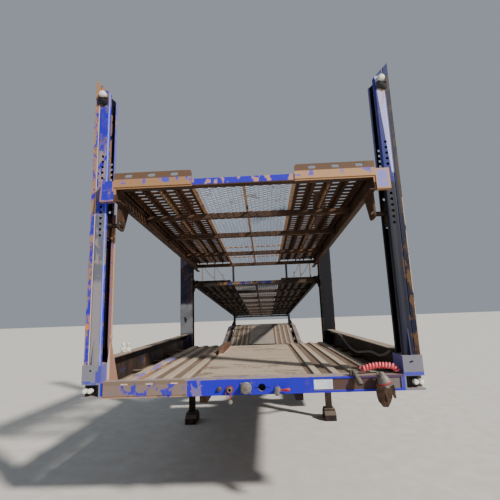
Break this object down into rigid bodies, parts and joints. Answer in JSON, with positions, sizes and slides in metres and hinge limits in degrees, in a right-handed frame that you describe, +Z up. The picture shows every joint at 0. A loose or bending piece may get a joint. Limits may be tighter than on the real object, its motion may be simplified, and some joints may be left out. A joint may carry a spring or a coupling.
{
  "type": "two-deck car transporter semi-trailer",
  "caption": "Worn blue two-deck car transporter semi-trailer, uncoupled and standing on its landing legs, with tilting upper decks of mesh and slotted tracks.",
  "frame": {"origin": "on the ground under the middle of the trailer", "axes": "+Y towards the rear, +Z up, +X to the right of a viewer who looks along +Y from in front of the trailer"},
  "size_m": [2.55, 12.63, 3.695],
  "materials": {
    "blue_paint": "chipped gloss",
    "underframe_paint": "dusty, rusted",
    "deck_steel": "worn, dusty rust",
    "galvanised": "dull zinc",
    "worn_steel": "rusted and greasy",
    "suspension_iron": "dusty",
    "black_plastic": "faded",
    "tyre_rubber": "dusty",
    "rim_paint": "dusty silver",
    "white_lens": "dusty",
    "red_lens": "dusty",
    "old_rubber": "cracked, rusty",
    "red_hose": "faded"
  },
  "bodies": {
    "root": {"front_beam": "blue_paint", "neck_frame": "underframe_paint", "kingpin_plate": "worn_steel", "neck_tracks": "deck_steel", "neck_centre_plate": "deck_steel", "well_tracks": "deck_steel", "well_crossmembers": "underframe_paint", "axle_ramp": "deck_steel", "hump_centre_plate": "deck_steel", "axle_frame": "underframe_paint", "loading_ramps": "deck_steel", "rear_beam": "blue_paint", "suspension": "suspension_iron", "axles": "suspension_iron", "mudguards": "black_plastic", "landing_legs": "underframe_paint", "front_lamps": "white_lens", "tail_lamps": "red_lens", "couplings": "worn_steel", "hanging_coupling": "old_rubber", "air_hose_coil": "red_hose", "post_pipes": "worn_steel", "front_post_right": "blue_paint", "front_post_left": "blue_paint", "mid_post_right": "blue_paint", "mid_post_left": "blue_paint", "rear_post_right": "blue_paint", "rear_post_left": "blue_paint", "main_beam_right": "blue_paint", "main_beam_left": "blue_paint"},
    "front_deck": {"front_deck_frame": "blue_paint", "front_deck_end_blocks": "blue_paint", "front_deck_tracks": "deck_steel", "front_deck_mesh": "galvanised"},
    "front_deck_rear_slide": {"front_deck_rear_carriage": "worn_steel"},
    "front_deck_front_slide": {"front_deck_front_carriage": "worn_steel"},
    "rear_deck": {"rear_deck_frame": "blue_paint", "rear_deck_tracks": "deck_steel", "rear_deck_mesh": "galvanised", "rear_deck_stanchions": "worn_steel"},
    "rear_deck_rear_slide": {"rear_deck_rear_carriage": "worn_steel"},
    "wheel_front_left": {"tyres_front_left": "tyre_rubber", "rims_front_left": "rim_paint"},
    "wheel_front_right": {"tyres_front_right": "tyre_rubber", "rims_front_right": "rim_paint"},
    "wheel_rear_left": {"tyres_rear_left": "tyre_rubber", "rims_rear_left": "rim_paint"},
    "wheel_rear_right": {"tyres_rear_right": "tyre_rubber", "rims_rear_right": "rim_paint"}
  },
  "joints": [
    {"name": "front_deck_lift", "type": "slide", "parent": "root", "child": "front_deck_rear_slide", "axis": [0, 0, 1], "range_m": [-0.09, 0.85]},
    {"name": "front_deck_tilt", "type": "hinge", "parent": "front_deck_rear_slide", "child": "front_deck", "pos_m": [0, -2.985, 2.465], "axis": [-1, 0, 0], "range_deg": [-6, 2]},
    {"name": "front_deck_front_slide_joint", "type": "slide", "parent": "front_deck_rear_slide", "child": "front_deck_front_slide", "axis": [0, 0, 1], "range_m": [-0.34, 0.12]},
    {"name": "rear_deck_tilt", "type": "hinge", "parent": "root", "child": "rear_deck", "pos_m": [0, -2.8, 2.12], "axis": [1, 0, 0], "range_deg": [-1, 12.5]},
    {"name": "rear_deck_rear_slide_joint", "type": "slide", "parent": "root", "child": "rear_deck_rear_slide", "axis": [0, 0, 1], "range_m": [-0.16, 1.86]},
    {"name": "wheel_front_left_spin", "type": "hinge", "parent": "root", "child": "wheel_front_left", "pos_m": [-1.012, 4.15, 0.395], "axis": [1, 0, 0], "continuous": true},
    {"name": "wheel_front_right_spin", "type": "hinge", "parent": "root", "child": "wheel_front_right", "pos_m": [1.012, 4.15, 0.395], "axis": [1, 0, 0], "continuous": true},
    {"name": "wheel_rear_left_spin", "type": "hinge", "parent": "root", "child": "wheel_rear_left", "pos_m": [-1.012, 5.4, 0.395], "axis": [1, 0, 0], "continuous": true},
    {"name": "wheel_rear_right_spin", "type": "hinge", "parent": "root", "child": "wheel_rear_right", "pos_m": [1.012, 5.4, 0.395], "axis": [1, 0, 0], "continuous": true}
  ],
  "couplings": [
    {"joint": "front_deck_front_slide_joint", "follows": "front_deck_tilt", "m_per_rad": 3.11},
    {"joint": "rear_deck_rear_slide_joint", "follows": "rear_deck_tilt", "m_per_rad": 8.4378}
  ]
}
